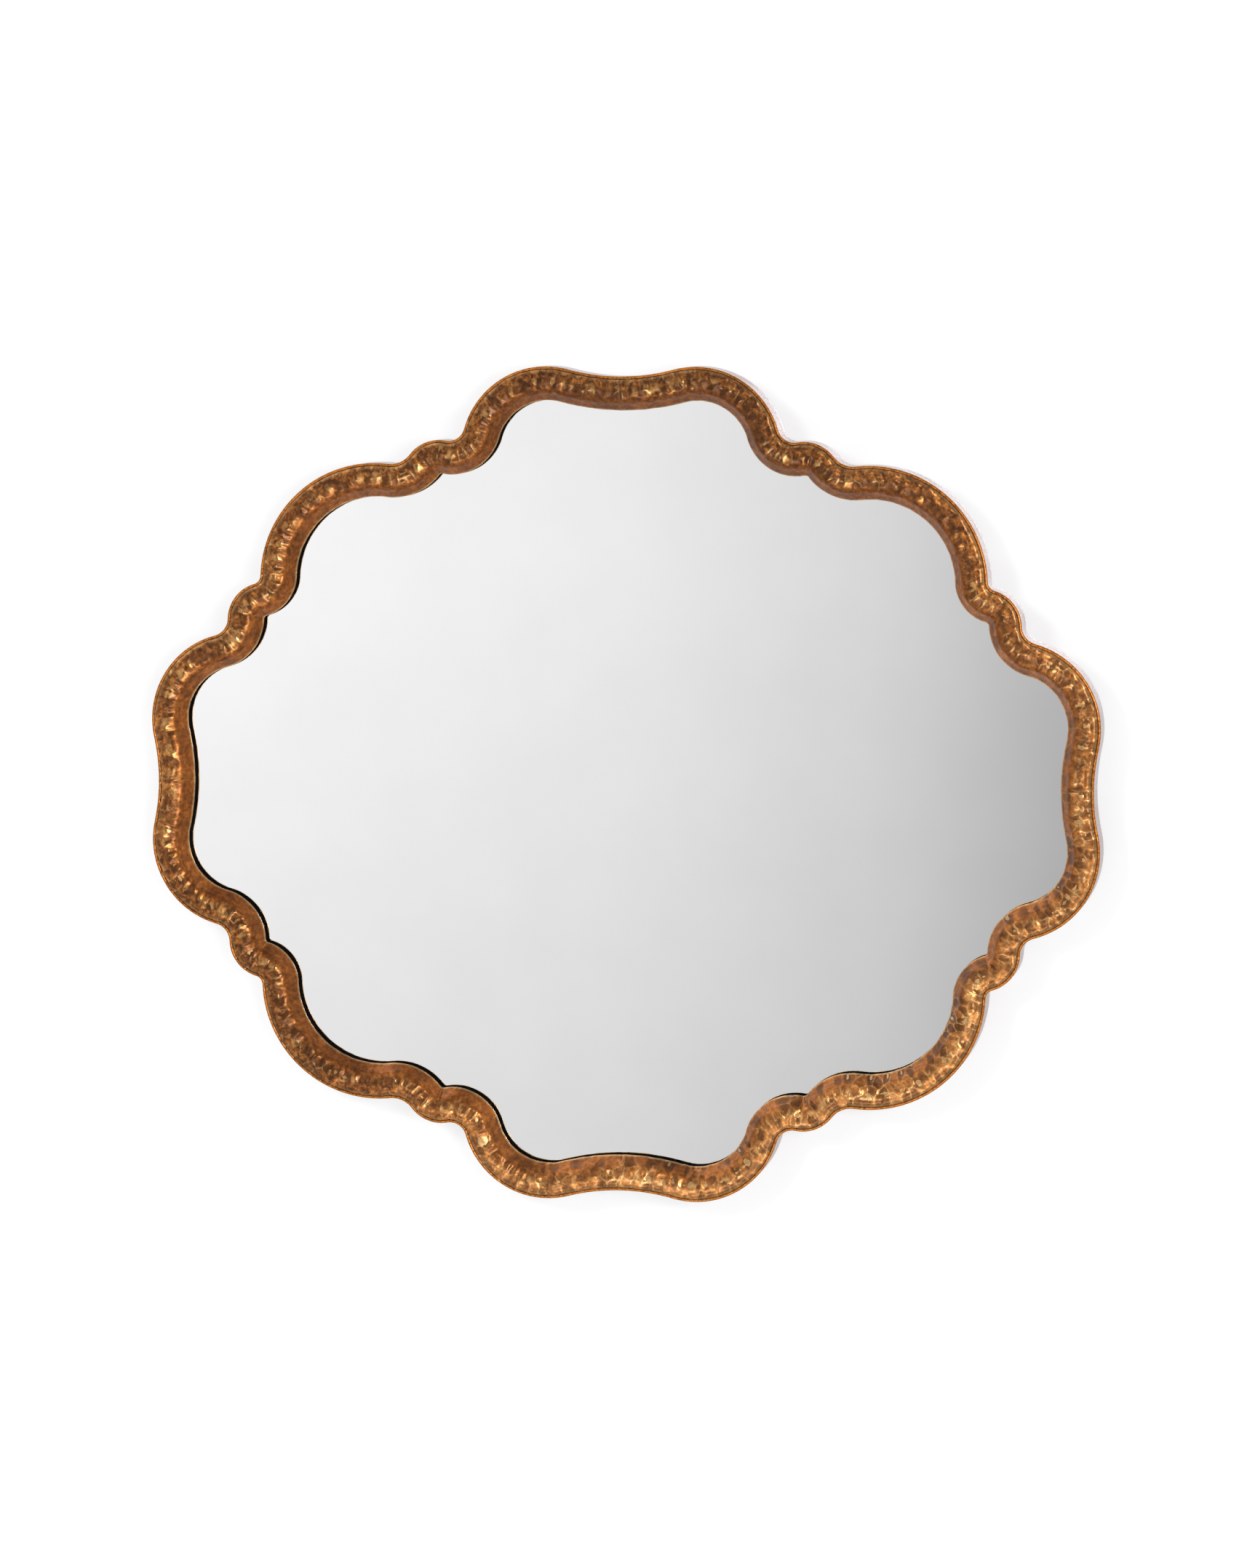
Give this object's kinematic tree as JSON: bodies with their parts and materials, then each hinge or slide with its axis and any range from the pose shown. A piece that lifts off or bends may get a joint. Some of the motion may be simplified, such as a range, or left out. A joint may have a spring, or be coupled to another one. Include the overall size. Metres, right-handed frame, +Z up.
{
  "type": "framed wall mirror",
  "caption": "Flat wall mirror with a scalloped outline, in a narrow frame clad in hammered copper sheet, with strap hangers behind for either way up.",
  "frame": {"origin": "on the wall, behind the middle of the mirror", "axes": "+X to the right as seen from the front, +Y into the wall, +Z up; the front faces -Y"},
  "size_m": [0.7874, 0.0407, 0.6858],
  "materials": {
    "hammered_copper": "hand-hammered copper sheet with a brown antique patina, waxed",
    "smooth_copper": "smooth copper strip, antique brown, satin",
    "black_core": "medium-density fibreboard painted matt black",
    "mirror_glass": "silvered float glass",
    "cork": "pressed cork",
    "foam": "closed-cell polyethylene foam",
    "hardboard": "smooth hardboard, unpainted",
    "zinc_steel": "zinc-plated steel",
    "nail_steel": "copper-plated steel, darkened",
    "black_rubber": "moulded rubber"
  },
  "bodies": {
    "root": {"front_core_top_right": "black_core", "front_core_bottom_right": "black_core", "front_core_bottom_left": "black_core", "front_core_top_left": "black_core", "back_core_top": "black_core", "back_core_right": "black_core", "back_core_bottom": "black_core", "back_core_left": "black_core", "face_sheet_top_right": "hammered_copper", "edge_strip_top_right": "smooth_copper", "face_sheet_bottom_right": "hammered_copper", "edge_strip_bottom_right": "smooth_copper", "face_sheet_bottom_left": "hammered_copper", "edge_strip_bottom_left": "smooth_copper", "face_sheet_top_left": "hammered_copper", "edge_strip_top_left": "smooth_copper", "mirror_glass": "mirror_glass", "glass_shims": "cork", "foam_sheet": "foam", "backing_board": "hardboard", "glazing_points": "zinc_steel", "strip_nails": "nail_steel", "hanger_strap_right": "zinc_steel", "hanger_screws_right": "zinc_steel", "hanger_strap_left": "zinc_steel", "hanger_screws_left": "zinc_steel", "hanger_strap_upper": "zinc_steel", "hanger_screws_upper": "zinc_steel", "hanger_strap_lower": "zinc_steel", "hanger_screws_lower": "zinc_steel", "wall_bumper_top_right": "black_rubber", "wall_bumper_bottom_right": "black_rubber", "wall_bumper_bottom_left": "black_rubber", "wall_bumper_top_left": "black_rubber"},
    "ring_right": {"hanger_ring_right": "zinc_steel"},
    "ring_left": {"hanger_ring_left": "zinc_steel"},
    "ring_upper": {"hanger_ring_upper": "zinc_steel"},
    "ring_lower": {"hanger_ring_lower": "zinc_steel"}
  },
  "joints": [
    {"name": "ring_hinge_right", "type": "hinge", "parent": "root", "child": "ring_right", "pos_m": [0.3802, -0.00362, 0.05806], "axis": [-1, 0, 0], "range_deg": [0, 165]},
    {"name": "ring_hinge_left", "type": "hinge", "parent": "root", "child": "ring_left", "pos_m": [-0.3802, -0.00362, 0.05806], "axis": [-1, 0, 0], "range_deg": [0, 165]},
    {"name": "ring_hinge_upper", "type": "hinge", "parent": "root", "child": "ring_upper", "pos_m": [0.06981, -0.00362, 0.3294], "axis": [0, 0, 1], "range_deg": [0, 165]},
    {"name": "ring_hinge_lower", "type": "hinge", "parent": "root", "child": "ring_lower", "pos_m": [0.06981, -0.00362, -0.3294], "axis": [0, 0, 1], "range_deg": [0, 165]}
  ]
}
